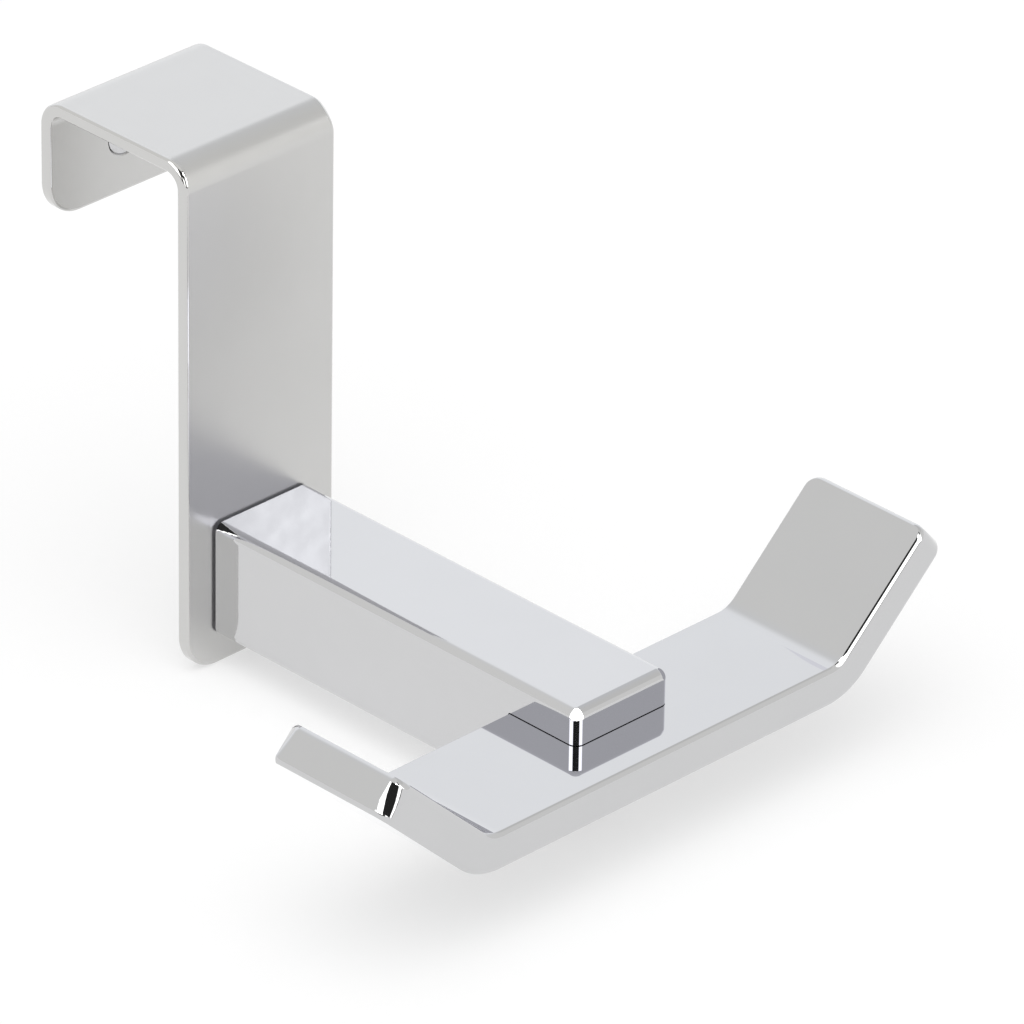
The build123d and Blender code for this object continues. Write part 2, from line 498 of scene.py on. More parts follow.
@dataclass
class BentStrip:
    """A strip with rounded corners and a rounded rim, bent along a fold line."""

    line: FoldLine
    across: Vector
    middle: Vector
    half_width: float
    thickness: float
    corner_radius: float
    rim_in: float
    rim_down: float
    rim_power: float = 2.0
    corner_twist: tuple[float, float] = (1.0, 1.0)
    bend_flare: float = 0.0
    openings: tuple[Opening, ...] = ()
    corner_steps: int = 14
    bend_steps: int = 20
    edge_steps: int = 8
    hole_margin: float = 0.04

    def place(self, u: float, v: float, w: float) -> Vector:
        """Returns the place at u along the line, v across and w into the thickness."""
        spot, _, outward = self.line.at(u)
        return self.middle + spot + self.across * v + outward * w

    def stations(self) -> list[Station]:
        """Lists one side's outline.

        Returns:
            Centre along and across, and the outward direction along and across, of each station.
        """
        r, end = self.corner_radius, self.line.length()
        inner = -self.half_width + r
        turns = [math.radians(180 + 90 * k / self.corner_steps) for k in range(self.corner_steps + 1)]
        rows = [(r, inner, math.cos(a), math.sin(a)) for a in turns]
        marks = set()
        for first, last in self.line.bend_spans():
            marks.update(first + (last - first) * k / self.bend_steps for k in range(self.bend_steps + 1))
        for opening in self.openings:
            reach = self.field_reach(opening)
            marks.update((opening.at - reach, opening.at + reach))
        rows += [(u, inner, 0.0, -1.0) for u in sorted(marks)]
        rows += [(end - r, inner, math.cos(a + math.pi / 2), math.sin(a + math.pi / 2)) for a in turns]
        return rows

    def field_reach(self, opening: Opening) -> float:
        """Returns how far the field round an opening reaches along the line."""
        return max(r for r, _ in opening.profile) + self.hole_margin

    def ring(self, rows: list[Station], inset: float, w: float, lean: float) -> list[Corner]:
        """Makes one ring round the strip.

        Args:
            rows: one side's stations.
            inset: how far the ring lies inside the outline.
            w: its depth into the thickness.
            lean: how far its normal leans to the outer face, in radians.

        Returns:
            Place and normal of each corner.
        """
        corners = []
        inner_half = w < self.thickness / 2
        twist = self.corner_twist[0 if lean < 0 or inner_half else 1]
        mirrored = [(cu, -cv, mu, -mv) for cu, cv, mu, mv in reversed(rows)]
        for cu, cv, mu, mv in rows + mirrored:
            grow = 1.0 if inner_half else self.flare(cu)
            depth = self.thickness - (self.thickness - w) * grow if grow > 1.0 else w
            reach = self.corner_radius - inset * grow
            u = cu + reach * mu
            _, along, outward = self.line.at(u)
            turn = math.pi / 2 * (math.atan2(abs(mv), abs(mu)) * 2 / math.pi) ** twist
            flat = along * math.copysign(math.cos(turn), mu) + self.across * math.copysign(math.sin(turn), mv)
            normal = flat * math.cos(lean) + outward * math.sin(lean)
            corners.append((self.place(u, cv + reach * mv, depth), normal))
        return corners

    def flare(self, u: float) -> float:
        """Works out how much wider the outer rim is in the first bend than elsewhere.

        Args:
            u: the place along the line.

        Returns:
            The rim's size as a multiple of its plain size.
        """
        first, last = self.line.bend_spans()[0]
        part = min(max((u - first) / (last - first), 0.0), 1.0)
        return 1.0 + self.bend_flare * math.sin(math.pi * part) ** 2

    def rim(self) -> list[tuple[float, float, float]]:
        """Works out the rim's section, from the side wall to the broad face.

        Returns:
            Inset, depth and the normal's lean of each row.
        """
        rows = []
        power = 2 / self.rim_power
        for side, rise in quarter_turn(self.edge_steps):
            lean = math.atan2(rise ** (2 - power) / self.rim_down, side ** (2 - power) / self.rim_in)
            rows.append((self.rim_in * (1 - side ** power), self.rim_down * (1 - rise ** power), lean))
        return rows

    def circle(self, u: float, radius: float, w: float) -> list[Vector]:
        """Returns the points of a hole's edge."""
        return [self.place(u + radius * math.cos(a), radius * math.sin(a), w) for a in HOLE_TURNS]

    def cap(self, skin: Skin, ring: list[Corner], rows: list[Station], outer: bool) -> None:
        """Closes one broad face, with its openings.

        Args:
            skin: takes the faces.
            ring: the rim's ring on that face.
            rows: one side's stations.
            outer: whether it is the outer face.
        """
        count = len(rows)
        for k in range(1, count):
            left = ring[k - 1], ring[k]
            right = ring[2 * count - 1 - k], ring[2 * count - k]
            half = (rows[k - 1][0] + rows[k][0]) / 2
            hole = next((o for o in self.openings if rows[k][3] == -1.0 and rows[k - 1][3] == -1.0
                         and abs(half - o.at) < 0.01), None)
            if hole is None:
                skin.face([*left, *right])
                continue
            normal = self.line.at(hole.at)[2] * (1 if outer else -1)
            circle = self.circle(hole.at, *hole.profile[-1 if outer else 0])
            skin.round_opening([place for place, _ in (*left, *right)], circle, normal)

    def build(self, skin: Skin) -> None:
        """Adds the whole strip.

        Args:
            skin: takes the faces.
        """
        rows = self.stations()
        rim = self.rim()
        inner = [self.ring(rows, inset, depth, -lean) for inset, depth, lean in reversed(rim)]
        outer = [self.ring(rows, inset, self.thickness - depth, lean) for inset, depth, lean in rim]
        rings = inner + outer
        skin.finish = 1
        for first, second in zip(rings, rings[1:]):
            skin.strip(first, second)
        skin.finish = 0
        self.cap(skin, rings[0], rows, False)
        self.cap(skin, rings[-1], rows, True)
        for opening in self.openings:
            place, _, outward = self.line.at(opening.at)
            skin.bore(place + self.middle, outward, opening.profile, partial(self.circle, opening.at))


@dataclass
class DoorStrap:
    """The strip folded over the door's top: leg in front, bridge on top, lip behind."""

    width: float = 25.0
    thickness: float = 1.8
    gap: float = 23.0
    leg_height: float = 69.7
    lip_height: float = 15.1
    bend_radius: float = 2.0
    corner_radius: float = 5.0
    edge_round: float = 0.42
    bend_flare: float = 0.7
    screw_heights: tuple[float, ...] = (-53.4, -61.4)
    screw_profile: Profile = ((2.85, 0.0), (2.85, 0.25), (1.55, 1.55), (1.55, 1.8))
    clamp_drop: float = 7.3
    clamp_length: float = 5.0
    clamp_profile: Profile = ((2.75, 0.0), (2.55, 0.2), (2.55, 1.8))

    def fold_line(self) -> FoldLine:
        """Lays out the inner face's side view.

        Returns:
            The line from the leg's foot over the door to the lip's end.
        """
        r = self.bend_radius
        runs = (self.leg_height - r, self.gap - 2 * r, self.lip_height - r)
        return FoldLine((-self.gap / 2, -self.leg_height), 90.0, runs, (-90.0, -90.0), r, Y, Z)

    def build(self, face_mat: Material, rim_mat: Material) -> Object:
        """Builds and dresses the strap.

        Args:
            face_mat: the finish of its broad faces.
            rim_mat: the finish of its rim.

        Returns:
            The strap.
        """
        line = self.fold_line()
        holes = [Opening(z + self.leg_height, self.screw_profile) for z in self.screw_heights]
        holes.append(Opening(line.length() - self.lip_height + self.clamp_drop, self.clamp_profile))
        strip = BentStrip(line, X, Vector(), self.width / 2, self.thickness, self.corner_radius,
                          self.edge_round, self.edge_round, bend_flare=self.bend_flare,
                          openings=tuple(sorted(holes, key=lambda hole: hole.at)))
        skin = Skin()
        strip.build(skin)
        return skin.piece("folded_strap", ("door_strap",), Slot.STRAP, face_mat, rim_mat)


@dataclass
class HookBar:
    """The flat bar across the arm's end, with both ends bent up."""

    depth: float = 19.8
    thickness: float = 5.3
    flat_width: float = 59.6
    top: float = -54.2
    front: float = -85.3
    bend_radius: float = 4.5
    tab_length: float = 20.08
    tab_angle: float = 43.0
    corner_radius: float = 2.0
    rim_in: float = 0.5
    rim_down: float = 0.8
    rim_power: float = 1.4
    rim_steps: int = 12
    corner_twist: tuple[float, float] = (0.6, 1.5)

    def fold_line(self) -> FoldLine:
        """Lays out the upper face's front view.

        Returns:
            The line from the left tab's tip to the right one's.
        """
        angle = math.radians(self.tab_angle)
        cut = self.bend_radius * math.tan(angle / 2)
        tip = (-self.flat_width / 2 - self.tab_length * math.cos(angle), self.top + self.tab_length * math.sin(angle))
        runs = (self.tab_length - cut, self.flat_width - 2 * cut, self.tab_length - cut)
        return FoldLine(tip, -self.tab_angle, runs, (self.tab_angle, self.tab_angle), self.bend_radius, X, Z)

    def build(self, mat: Material) -> Object:
        """Builds and dresses the bar.

        Args:
            mat: the finish of the whole bar.

        Returns:
            The bar.
        """
        middle = Y * (self.front + self.depth / 2)
        strip = BentStrip(self.fold_line(), Y, middle, self.depth / 2, self.thickness, self.corner_radius,
                          self.rim_in, self.rim_down, self.rim_power, self.corner_twist, edge_steps=self.rim_steps)
        skin = Skin()
        strip.build(skin)
        return skin.piece("hook_bar", ("hook_plate",), Slot.PLATE, mat, mat)


@dataclass
class SupportArm:
    """The square bar that stands out from the leg, slotted at its end for the hook bar."""

    width: float = 16.0
    height: float = 16.0
    top: float = -49.4
    root: float = -13.3
    end: float = -77.4
    edge_round: float = 1.3
    root_bevel: float = 0.36
    slot_top: float = -54.1
    slot_bottom: float = -59.55
    slot_root: float = -65.45
    slot_fillet: tuple[float, float] = (0.5, 0.8)
    slot_fillet_power: float = 1.4
    screw_at: float = -71.45
    screw_profile: Profile = ((3.8, 0.0), (3.8, 0.25), (2.05, 2.0), (2.05, 5.85))
    steps: int = 14
    end_facet: tuple[float, float, float] = (0.354, -0.669, 0.655)
    end_facet_from: tuple[float, float] = (0.02, 0.70)
    end_facet_fade: float = 0.06
    root_facet_way: tuple[float, float, float] = (0.62, -0.49, 0.61)
    root_facet_length: float = 4.6
    root_facet_steps: int = 10
    root_facet_angle: float = 50.0
    root_facet_spread: float = 34.0
    root_facet_fade: float = 0.2
    fillet_steps: int = 8

    def outline(self) -> list[Station]:
        """Lists the section's stations, anticlockwise from the right side's slot.

        Returns:
            Centre and outward direction, each across and up, of each station.
        """
        a, b = self.width / 2 - self.edge_round, self.height / 2 - self.edge_round
        mid = self.top - self.height / 2
        rows: list[Station] = []
        for number, (sx, sz) in enumerate(((1, 1), (-1, 1), (-1, -1), (1, -1))):
            for k in range(self.steps + 1):
                turn = math.pi / 2 * (number + k / self.steps)
                rows.append((sx * a, mid + sz * b, math.cos(turn), math.sin(turn)))
            if number == 1:
                rows += [(-a, z, -1.0, 0.0) for z in self.slot_levels()]
        top, *lower = self.slot_levels()
        return [(a, top, 1.0, 0.0), *rows, *((a, z, 1.0, 0.0) for z in reversed(lower))]

    def slot_levels(self) -> tuple[float, float, float, float]:
        """Returns the heights of the slot's faces and of its fillets' ends, from the top."""
        drop = self.slot_fillet[1]
        return self.slot_top, self.slot_top - drop, self.slot_bottom + drop, self.slot_bottom

    def ring(self, y: float, reach: float, lean: float) -> list[Corner]:
        """Makes one ring of the section.

        Args:
            y: its place along the arm.
            reach: the distance from the stations' centres.
            lean: how far its normals lean out of the section, in radians.

        Returns:
            Place and normal of each corner.
        """
        away = -Y if lean >= 0 else Y
        return [(Vector((cx + reach * mx, y, cz + reach * mz)),
                 self.facet(Vector((mx, 0, mz)) * math.cos(lean) + away * abs(math.sin(lean))))
                for cx, cz, mx, mz in self.outline()]

    def facet(self, normal: Vector) -> Vector:
        """Turns a normal on one of the end's corners to that corner's small polished facet.

        Args:
            normal: the plain normal.

        Returns:
            The turned normal.
        """
        across, ahead, up = self.end_facet
        flat = Vector((math.copysign(across, normal.x), ahead, math.copysign(up, normal.z)))
        parts = abs(normal.x), -normal.y, abs(normal.z)
        least, middle = self.end_facet_from
        share = min(min(parts) - least, sum(parts) / math.sqrt(3) - middle) / self.end_facet_fade
        return normal.lerp(flat, min(max(share, 0.0), 1.0)).normalized()

    def root_facet(self, corner: Corner) -> Corner:
        """Turns a normal on the upper edges close to the root to the small facet that polishing leaves there.

        Args:
            corner: place and normal of a corner.

        Returns:
            The same place with its turned normal.
        """
        place, normal = corner
        across, ahead, up = self.root_facet_way
        flat = Vector((math.copysign(across, normal.x), ahead, up))
        angle = math.degrees(math.atan2(normal.z, abs(normal.x)))
        off = abs(angle - self.root_facet_angle) / self.root_facet_spread
        share = (1 - (self.root - place.y) / self.root_facet_length - off) / self.root_facet_fade
        return place, normal.lerp(flat, min(max(share, 0.0), 1.0)).normalized()

    def in_slot(self, k: int) -> bool:
        """Whether the span before station k crosses the slot's mouth on either side."""
        rows = self.outline()
        return all(self.slot_bottom <= rows[i][1] <= self.slot_top for i in (k - 1, k))

    def screw_ring(self, radius: float, depth: float) -> list[Vector]:
        """Lays out a ring in the screw's hole.

        Args:
            radius: its radius.
            depth: its height above the underside.

        Returns:
            Its points.
        """
        low = self.top - self.height
        return [Vector((radius * math.cos(a), self.screw_at + radius * math.sin(a), low + depth)) for a in HOLE_TURNS]

    def underside(self, skin: Skin, field: list[Vector]) -> None:
        """Closes one span of the underside with the screw's countersunk hole in it.

        Args:
            skin: takes the faces.
            field: the span's corners, in order.
        """
        circle = self.screw_ring(*self.screw_profile[0])
        way = (field[1] - field[0]).cross(field[2] - field[1]).z
        skin.round_opening(field, circle if way > 0 else circle[::-1], -Z)
        skin.bore(Vector((0, self.screw_at, self.top - self.height)), Z, self.screw_profile, self.screw_ring)

    def build(self, mat: Material, seam_mat: Material) -> Object:
        """Builds and dresses the arm.

        Args:
            mat: the finish of its faces.
            seam_mat: the dark material of its root bevel, where it meets the leg, and of the slot's inside: painted
                shade.

        Returns:
            The arm.
        """
        skin = Skin()
        r, c = self.edge_round, self.root_bevel
        slope = math.pi / 4
        bevel = [self.ring(self.root, r - c, -slope), self.ring(self.root - c, r, -slope)]
        # The root bevel and the face against the leg take the dark material: painted shade where the arm meets the leg.
        skin.finish = 1
        skin.strip(bevel[0], bevel[1])
        skin.flat([corner[0] for corner in bevel[0]], Y)
        skin.finish = 0
        spacing = self.root_facet_length / self.root_facet_steps
        places = [self.root - c - spacing * k for k in range(self.root_facet_steps + 1)] + [self.slot_root]
        body = [[self.root_facet(corner) for corner in self.ring(y, r, 0.0)] for y in places]
        for first, second in zip(body, body[1:]):
            skin.strip(first, second)
        leans = [math.pi / 2 * k / self.steps for k in range(self.steps + 1)]
        jaws = [self.ring(self.slot_root, r, 0.0), self.ring(self.slot_root - self.slot_fillet[0], r, 0.0)]
        jaws += [self.ring(self.end + r - r * math.sin(a), r * math.cos(a), a) for a in leans]
        rows = self.outline()
        flat_under = next(k for k in range(1, len(rows)) if max(rows[k - 1][3], rows[k][3]) < -0.999)
        for number, (near, far) in enumerate(zip(jaws, jaws[1:])):
            for k in range(len(rows)):
                field = [near[k - 1], near[k], far[k], far[k - 1]]
                if number == 1 and k == flat_under:
                    self.underside(skin, [place for place, _ in field])
                elif not self.in_slot(k):
                    skin.face(field)
        self.close_slot(skin, jaws)
        return skin.piece("square_arm", ("arm",), Slot.ARM, mat, seam_mat)

    def fillet(self, level: float, way: float) -> list[Vector]:
        """Works out the slot's rounded inner corner, which follows the hook bar's rim.

        Args:
            level: the height of the jaw's inner face.
            way: 1 or -1, the side of that face that the slot is on.

        Returns:
            Places in the middle plane, from the slot's root wall to the jaw.
        """
        back, drop = self.slot_fillet
        power = 2 / self.slot_fillet_power
        return [Vector((0, self.slot_root - back * (1 - side ** power), level + way * drop * (1 - rise ** power)))
                for side, rise in quarter_turn(self.fillet_steps)]

    def close_slot(self, skin: Skin, jaws: list[list[Corner]]) -> None:
        """Adds the slot's inner faces and the ends of both jaws.

        Args:
            skin: takes the faces.
            jaws: the rings from the slot's root to the arm's end.
        """
        rows = self.outline()
        upper, lower = (next(k for k, row in enumerate(rows) if row[0] < 0 and row[1] == level)
                        for level in (self.slot_top, self.slot_bottom))
        half = X * (self.width / 2)
        inner = []
        for right_k, left_k, normal in ((0, upper, -Z), (len(rows) - 3, lower, Z)):
            right_row = [ring[right_k][0] for ring in jaws[1:]]
            left_row = [ring[left_k][0] for ring in jaws[1:]]
            curve = self.fillet(right_row[0].z, normal.z)
            corner = Vector((0, self.slot_root, right_row[0].z))
            skin.finish = 0
            for side in (half, -half):
                skin.flat([corner + side, *(p + side for p in curve)], side.normalized())
            # The slot's fillets, inner faces and root wall take the dark material: painted shade where the bar sits in
            # the slot.
            skin.finish = 1
            for p, q in zip(curve, curve[1:]):
                skin.flat([p - half, p + half, q + half, q - half], (normal - Y).normalized())
            inner.append(curve[0])
            if normal.z > 0:
                field = [right_row[0], left_row[0], left_row[1], right_row[1]]
                skin.round_opening(field, self.screw_ring(*self.screw_profile[-1]), normal)
                right_row, left_row = right_row[1:], left_row[1:]
            skin.flat([*right_row, *left_row[::-1]], normal)
        skin.flat([inner[0] + half, inner[0] - half, inner[1] - half, inner[1] + half], -Y)
        skin.finish = 0
        last = [corner[0] for corner in jaws[-1]]
        skin.flat(last[:upper + 1], -Y)
        skin.flat(last[lower:len(rows) - 2], -Y)


@dataclass
class Screw:
    """A screw with a hexagon socket, turned about an axis from the middle of its head's face.

    A head of 0 makes a grub screw.
    """

    name: str
    node: str
    start: Vector
    way: Vector
    diameter: float
    length: float
    pitch: float
    bevel: float
    hex_across: float
    hex_depth: float
    head: float = 0.0
    head_edge: float = 0.1
    head_rim: float = 0.2
    steps: int = 60
    pitch_rows: int = 10
    socket_bevel: float = 0.12
    groove_depth: float = 0.6
    flank_slope: float = 2.6
    crest_share: float = 0.12
    thread_fade: float = 0.3

    def out(self, k: int) -> Vector:
        """Returns the direction away from the axis at step k round it."""
        side, a = (Z if abs(self.way.z) < 0.5 else X), 2 * math.pi * k / self.steps
        return side * math.cos(a) + self.way.cross(side) * math.sin(a)

    def ring(self, radius: float, height: float, radial: float, axial: float) -> list[Corner]:
        """Makes one ring.

        Args:
            radius: its radius.
            height: its distance along the axis.
            radial: outward part of its normal.
            axial: part of its normal along the axis.

        Returns:
            Place and normal of each corner.
        """
        size = math.hypot(radial, axial)
        middle = self.start + self.way * height
        return [(middle + out * radius, (out * radial + self.way * axial) / size)
                for out in (self.out(k) for k in range(self.steps))]

    def rim(self, radius: float, height: float) -> list[Vector]:
        """Returns the places of one ring."""
        return [place for place, _ in self.ring(radius, height, 1.0, 0.0)]

    def lathe(self, skin: Skin, profile: list[tuple[float, float]]) -> None:
        """Adds a turned surface through radius and height pairs."""
        for (r0, h0), (r1, h1) in zip(profile, profile[1:]):
            skin.strip(self.ring(r0, h0, h1 - h0, r0 - r1), self.ring(r1, h1, h1 - h0, r0 - r1))

    def socket(self, skin: Skin, radius: float) -> None:
        """Adds the head's face with its hexagon socket.

        Args:
            skin: takes the faces.
            radius: the face's radius.
        """
        part = self.steps // 6
        tip = self.hex_across / math.sqrt(3)
        face = self.rim(radius, 0.0)
        wide = self.rim(tip + self.socket_bevel, 0.0)[::part]
        mouth = self.rim(tip, self.socket_bevel)[::part]
        floor = self.rim(tip, self.hex_depth)[::part]
        for k in range(6):
            i = (k * part - part) % self.steps
            arc = [face[(i + s) % self.steps] for s in range(part + 1)]
            skin.flat([wide[k - 1], wide[k], *reversed(arc)], -self.way)
            inward = (self.start - (wide[k] + wide[k - 1]) / 2).normalized()
            skin.flat([wide[k - 1], wide[k], mouth[k], mouth[k - 1]], (inward - self.way).normalized())
            skin.flat([mouth[k - 1], mouth[k], floor[k], floor[k - 1]], inward)
        skin.flat(floor, -self.way)

    def thread(self, skin: Skin, first: float, last: float) -> None:
        """Adds a helical thread that fades out at both ends.

        Args:
            skin: takes the faces.
            first: height where it starts.
            last: height where it ends.
        """
        radius, pitch = self.diameter / 2, self.pitch
        rows = max(int((last - first) / pitch * self.pitch_rows), 4)

        def spot(row: int, k: int) -> Vector:
            """Finds the surface's place.

            Args:
                row: the row along the thread.
                k: the step round the axis.

            Returns:
                The place.
            """
            height = first + (last - first) * row / rows
            phase = (height / pitch - k / self.steps) % 1.0
            fade = min(1.0, (height - first) / self.thread_fade, (last - height) / self.thread_fade)
            flank = min(max(self.flank_slope * abs(phase - 0.5) - self.crest_share, 0.0), 1.0)
            groove = self.groove_depth * pitch * flank * fade
            return self.start + self.way * height + self.out(k) * (radius - groove)

        grid = []
        for row in range(rows + 1):
            line = []
            for k in range(self.steps):
                up = spot(min(row + 1, rows), k) - spot(max(row - 1, 0), k)
                normal = (spot(row, k + 1) - spot(row, k - 1)).cross(up).normalized()
                line.append((spot(row, k), normal if normal.dot(self.out(k)) > 0 else -normal))
            grid.append(line)
        for near, far in zip(grid, grid[1:]):
            skin.strip(near, far)

    def build(self, mat: Material) -> Object:
        """Builds and dresses the screw.

        Args:
            mat: its finish.

        Returns:
            The screw.
        """
        skin = Skin()
        r, b, h, e = self.diameter / 2, self.bevel, self.head / 2, self.head_edge
        shape = [(r - b, 0.0), (r, b)]
        if self.head:
            shape = [(h - e, 0.0), (h, e), (h, self.head_rim), (r, self.head_rim + h - r)]
        self.socket(skin, shape[0][0])
        self.lathe(skin, shape)
        self.thread(skin, shape[-1][1], self.length - b)
        self.lathe(skin, [(r, self.length - b), (r - b, self.length)])
        skin.flat(self.rim(r - b, self.length), self.way)
        return skin.piece(self.name, (self.node,), Slot.SCREW, mat)


@dataclass(frozen=True)
class Panel:
    """A lamp or an opening in the light tent, as a soft-edged patch of the sky.

    Azimuth counts from the hook's front towards its right, in degrees.
    """

    azimuth: float
    elevation: float
    half_width: float
    half_height: float
    strength: float
    softness: float = 4.0
    sight: Sight = Sight.ALL

    def mask(self, n: Nodes, azimuth: NodeSocket, elevation: NodeSocket) -> NodeSocket:
        """Works out how much of the panel a direction shows.

        Args:
            n: the world's nodes.
            azimuth: the direction's azimuth.
            elevation: the direction's elevation.

        Returns:
            1 on the panel, 0 off it, and between the two along its edge.
        """
        soft = self.softness
        side = n.math("ABSOLUTE", n.math("SUBTRACT", azimuth, self.azimuth))
        rise = n.math("ABSOLUTE", n.math("SUBTRACT", elevation, self.elevation))
        mask = n.math("MULTIPLY", n.smooth(side, self.half_width - soft, self.half_width + soft, 1, 0),
                      n.smooth(rise, self.half_height - soft, self.half_height + soft, 1, 0))
        if self.sight is not Sight.ALL:
            test = "LESS_THAN" if self.sight is Sight.FIRST else "GREATER_THAN"
            depth = n.add("ShaderNodeLightPath").outputs["Glossy Depth"]
            mask = n.math("MULTIPLY", mask, n.math(test, depth, ECHO_DEPTH))
        return mask


@dataclass
class Studio:
    """The white light tent, its lamps, the pale floor and the camera."""

    floor_height: float = -69.7
    floor_reach: float = 3000.0
    sky_side: float = 0.96
    sky_back: float = 1.24
    back_way: tuple[float, float] = (0.707, 0.707)
    back_edge: tuple[float, float] = (0.45, 0.7)
    tint_edge: tuple[float, float] = (0.2, 1.1)
    side_tint: Colour = (1.0, 0.997, 0.985)
    back_tint: Colour = (0.985, 1.0, 1.03)
    echo_tint: Colour = (0.98, 0.985, 1.06)
    top_light: float = 2.4
    top_way: tuple[float, float, float] = (-0.3, -0.22, 0.92)
    top_sharpness: float = 6.0
    floor_tone: tuple[float, ...] = (0.97, 0.97, 0.97, 1)
    floor_glow: float = 1.06
    floor_gleam: float = 1.17
    floor_echo: float = 1.6
    floor_show: float = 0.5
    root_lamp_aim: tuple[float, float, float] = (3.0, -13.3, -44.0)
    root_lamp_way: tuple[float, float, float] = (0.617, -0.617, 0.489)
    root_lamp_reach: float = 300.0
    root_lamp_power: float = 0.102
    root_lamp_cone: float = 10.5
    root_lamp_fade: float = 0.6
    root_lamp_size: float = 20.0
    root_lamp_tint: Colour = (0.97, 0.99, 1.04)
    camera_at: tuple[float, float, float] = (-766.86, -827.0, 577.15)
    camera_azimuth: float = -44.912
    camera_elevation: float = 29.307
    camera_roll: float = 0.919
    lens: float = 360.91
    sensor: float = 36.0
    panels: list[Panel] = field(default_factory=lambda: [
        Panel(azimuth=-45, elevation=24, half_width=62, half_height=34, strength=0.03, softness=2),
        Panel(azimuth=-103, elevation=27, half_width=22, half_height=21, strength=3.2, softness=2),
        Panel(azimuth=6, elevation=20, half_width=18, half_height=17, strength=3.2, softness=2),
        Panel(azimuth=85, elevation=46, half_width=46, half_height=15, strength=0.82, softness=4, sight=Sight.FIRST),
        Panel(azimuth=10, elevation=50, half_width=17, half_height=8, strength=0.03, softness=2),
        Panel(azimuth=-50, elevation=12, half_width=12, half_height=12, strength=2.2, softness=2),
        Panel(azimuth=-5, elevation=48, half_width=9, half_height=6, strength=20.0, softness=3, sight=Sight.FIRST),
        Panel(azimuth=16, elevation=49, half_width=32, half_height=11, strength=0.8, softness=4, sight=Sight.ECHO),
        Panel(azimuth=-36, elevation=44, half_width=15, half_height=10, strength=1.7, softness=3, sight=Sight.ECHO),
    ])

    def sky_tone(self, n: Nodes, way: tuple[NodeSocket, ...]) -> NodeSocket:
        """Works out the tent's brightness by direction, as metal mirrors it.

        Args:
            n: the world's nodes.
            way: the direction's three parts.

        Returns:
            The brightness socket.
        """
        x, y, z = way
        azimuth = n.math("DEGREES", n.math("ARCTAN2", x, n.math("MULTIPLY", y, -1.0)))
        elevation = n.math("DEGREES", n.math("ARCSINE", z))
        back = n.math("ADD", n.math("MULTIPLY", x, self.back_way[0]), n.math("MULTIPLY", y, self.back_way[1]))
        tone = n.smooth(back, *self.back_edge, self.sky_side, self.sky_back)
        for panel in self.panels:
            step = n.math("SUBTRACT", panel.strength, tone)
            tone = n.math("MULTIPLY_ADD", step, panel.mask(n, azimuth, elevation), tone)
        return tone

    def top_tone(self, n: Nodes, way: tuple[NodeSocket, ...]) -> NodeSocket:
        """Works out the tent's brightness by direction, as it lights the floor.

        Args:
            n: the world's nodes.
            way: the direction's three parts.

        Returns:
            The brightness socket, brightest round the top light.
        """
        lean = Vector(self.top_way).normalized()
        aimed = n.math("MULTIPLY", way[2], lean.z)
        for part, share in ((way[1], lean.y), (way[0], lean.x)):
            aimed = n.math("MULTIPLY_ADD", part, share, aimed)
        lobe = n.math("POWER", n.math("MAXIMUM", aimed, 0.0), self.top_sharpness)
        return n.math("MULTIPLY_ADD", lobe, self.top_light, 1 - self.top_light * lean.z / 4)

    def build_sky(self) -> None:
        """Makes the tent as the world, plain white to the camera."""
        world = bpy.data.worlds.new("light_tent")
        bpy.context.scene.world = world
        n = Nodes(world)
        split = n.add("ShaderNodeSeparateXYZ")
        n.join(n.add("ShaderNodeTexCoord").outputs["Generated"], split.inputs[0])
        way = tuple(split.outputs)
        path = n.add("ShaderNodeLightPath")
        tent = n.add("ShaderNodeBackground")
        n.join(self.sky_tone(n, way), tent.inputs["Strength"])
        to_back = n.smooth(n.math("ADD", way[0], way[1]), *self.tint_edge)
        cloth = n.blend(to_back, self.side_tint, self.back_tint)
        echo = n.math("GREATER_THAN", path.outputs["Glossy Depth"], ECHO_DEPTH)
        n.join(n.blend(echo, cloth, self.echo_tint), tent.inputs["Color"])
        plain = n.add("ShaderNodeBackground", Color=(1, 1, 1, 1))
        top = self.top_tone(n, way)
        white = n.math("MULTIPLY_ADD", path.outputs["Is Camera Ray"], n.math("SUBTRACT", 1.0, top), top)
        n.join(white, plain.inputs["Strength"])
        n.show("ShaderNodeOutputWorld", path.outputs["Is Glossy Ray"], plain, tent)

    def build_floor(self) -> Object:
        """Makes the pale floor that the strap's foot stands on.

        Returns:
            The floor object.
        """
        reach = self.floor_reach * MM
        level = self.floor_height * MM
        mesh = bpy.data.meshes.new("floor")
        corners = [(x * reach, y * reach, level) for x, y in ((-1, -1), (1, -1), (1, 1), (-1, 1))]
        mesh.from_pydata(corners, [], [(0, 1, 2, 3)])
        floor = bpy.data.objects.new("floor", mesh)
        bpy.context.scene.collection.objects.link(floor)
        mat = bpy.data.materials.new("pale_floor")
        n = Nodes(mat)
        paper = n.add("ShaderNodeBsdfDiffuse", Color=self.floor_tone)
        path = n.add("ShaderNodeLightPath")
        gleam = n.add("ShaderNodeEmission")
        first = n.smooth(path.outputs["Is Glossy Ray"], 0, 1, self.floor_glow, self.floor_gleam)
        echo = n.math("GREATER_THAN", path.outputs["Glossy Depth"], ECHO_DEPTH)
        n.join(n.math("MULTIPLY_ADD", echo, self.floor_echo - self.floor_gleam, first), gleam.inputs["Strength"])
        seen = n.math("MAXIMUM", path.outputs["Is Camera Ray"], path.outputs["Is Glossy Ray"])
        n.show("ShaderNodeOutputMaterial", n.math("MULTIPLY", seen, self.floor_show), paper, gleam)
        mesh.materials.append(mat)
        floor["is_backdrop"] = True
        return floor

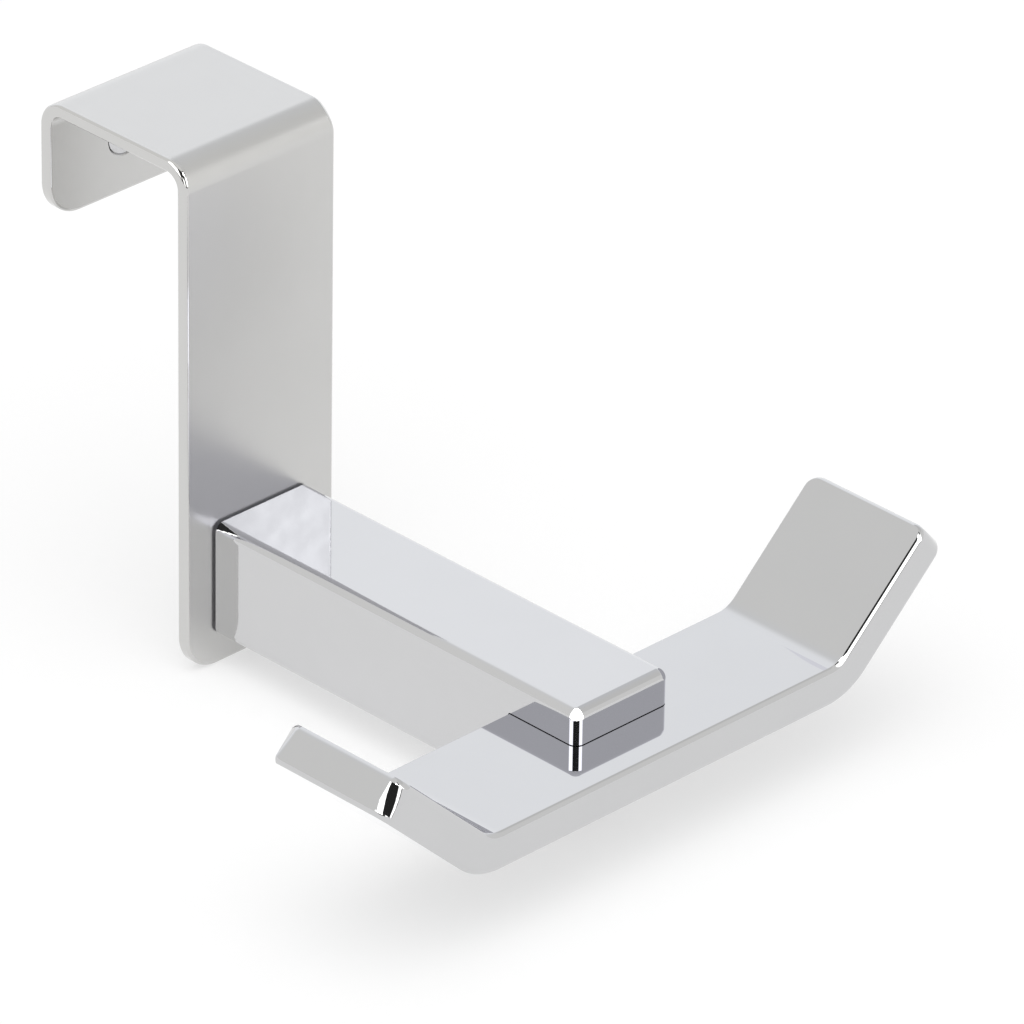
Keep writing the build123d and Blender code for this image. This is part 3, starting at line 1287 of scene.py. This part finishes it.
    def place_root_lamp(self) -> None:
        """Aims a small spot at the foot of the leg, which lightens what the arm's top face mirrors."""
        data = bpy.data.lights.new("root_lamp", "SPOT")
        data.energy = self.root_lamp_power
        data.color = self.root_lamp_tint
        data.spot_size = math.radians(self.root_lamp_cone)
        data.spot_blend = self.root_lamp_fade
        data.shadow_soft_size = self.root_lamp_size * MM
        lamp = bpy.data.objects.new("root_lamp", data)
        way = Vector(self.root_lamp_way).normalized()
        lamp.location = (Vector(self.root_lamp_aim) + way * self.root_lamp_reach) * MM
        lamp.rotation_euler = way.to_track_quat("Z", "Y").to_euler()
        lit = bpy.data.collections.new("lit_by_root_lamp")
        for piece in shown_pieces():
            if "strap" in piece.name:
                lit.objects.link(piece)
        lamp.light_linking.receiver_collection = lit
        bpy.context.scene.collection.objects.link(lamp)

    def place_camera(self) -> None:
        """Sets the camera at the photograph's angle."""
        az, el, roll = (math.radians(a) for a in (self.camera_azimuth, self.camera_elevation, self.camera_roll))
        back = Vector((math.sin(az) * math.cos(el), -math.cos(az) * math.cos(el), math.sin(el)))
        right = Z.cross(back).normalized()
        up = back.cross(right)
        side = right * math.cos(roll) + up * math.sin(roll)
        top = up * math.cos(roll) - right * math.sin(roll)
        data = bpy.data.cameras.new("camera")
        data.sensor_width = self.sensor
        data.lens = self.lens
        camera = bpy.data.objects.new("camera", data)
        turn = Matrix((side, top, back)).transposed().to_4x4()
        camera.matrix_world = Matrix.Translation(Vector(self.camera_at) * MM) @ turn
        bpy.context.scene.collection.objects.link(camera)
        bpy.context.scene.camera = camera

    def build(self) -> None:
        """Builds the whole studio."""
        self.build_sky()
        self.build_floor()
        self.place_root_lamp()
        self.place_camera()
        bpy.context.scene.view_settings.view_transform = "Standard"


def main() -> None:
    """Builds the pieces in order and reports each one."""
    logging.basicConfig(level=logging.INFO, format="%(name)s: %(message)s")
    warm = (0.583, 0.58, 0.571)
    soft = PolishedChrome("strap_polish", warm, 0.29, 0.01, wave_depth=0.004).material()
    rim = PolishedChrome("strap_rim_polish", warm, 0.07, 0.01, wave_depth=0.004).material()
    # Dark steel on the arm's root bevel and inside its slot: painted shade where the arm meets the leg and holds the
    # bar.
    seam_shade = TurnedSteel("seam_painted_shade", tone=(0.23, 0.23, 0.245), haze=0.45).material()
    bright = PolishedChrome("arm_polish", haze=0.05, haze_spread=0.01, wave_depth=0.003).material()
    mirror = PolishedChrome("bar_polish", (0.558, 0.559, 0.564), 0.03, 0.01, wave_depth=0.008).material()
    steel = TurnedSteel("turned_steel").material()
    strap, arm = DoorStrap(), SupportArm()
    strap.build(soft, rim)
    seat = Vector((0, strap.gap / 2 + strap.clamp_length, -strap.clamp_drop))
    Screw("clamp_grub_screw", "clamp_screw", seat, -Y, diameter=5.0, length=strap.clamp_length, pitch=0.8,
          bevel=0.15, hex_across=2.5, hex_depth=2.0).build(steel)
    arm.build(bright, seam_shade)
    HookBar().build(mirror)
    for number, height in enumerate(strap.screw_heights, 1):
        seat = Vector((0, -strap.gap / 2 - HEAD_RECESS, height))
        Screw(f"leg_screw_{number}", f"arm_screw_{number}", seat, -Y, diameter=3.0, length=12.0, pitch=0.5,
              bevel=0.3, hex_across=2.0, hex_depth=0.9, head=5.6).build(steel)
    seat = Vector((0, arm.screw_at, arm.top - arm.height + HEAD_RECESS))
    Screw("jaw_screw", "plate_screw", seat, Z, diameter=4.0, length=14.0, pitch=0.7,
          bevel=0.4, hex_across=2.5, hex_depth=1.4, head=7.5).build(steel)
    Studio().build()


if __name__ == "__main__":
    main()
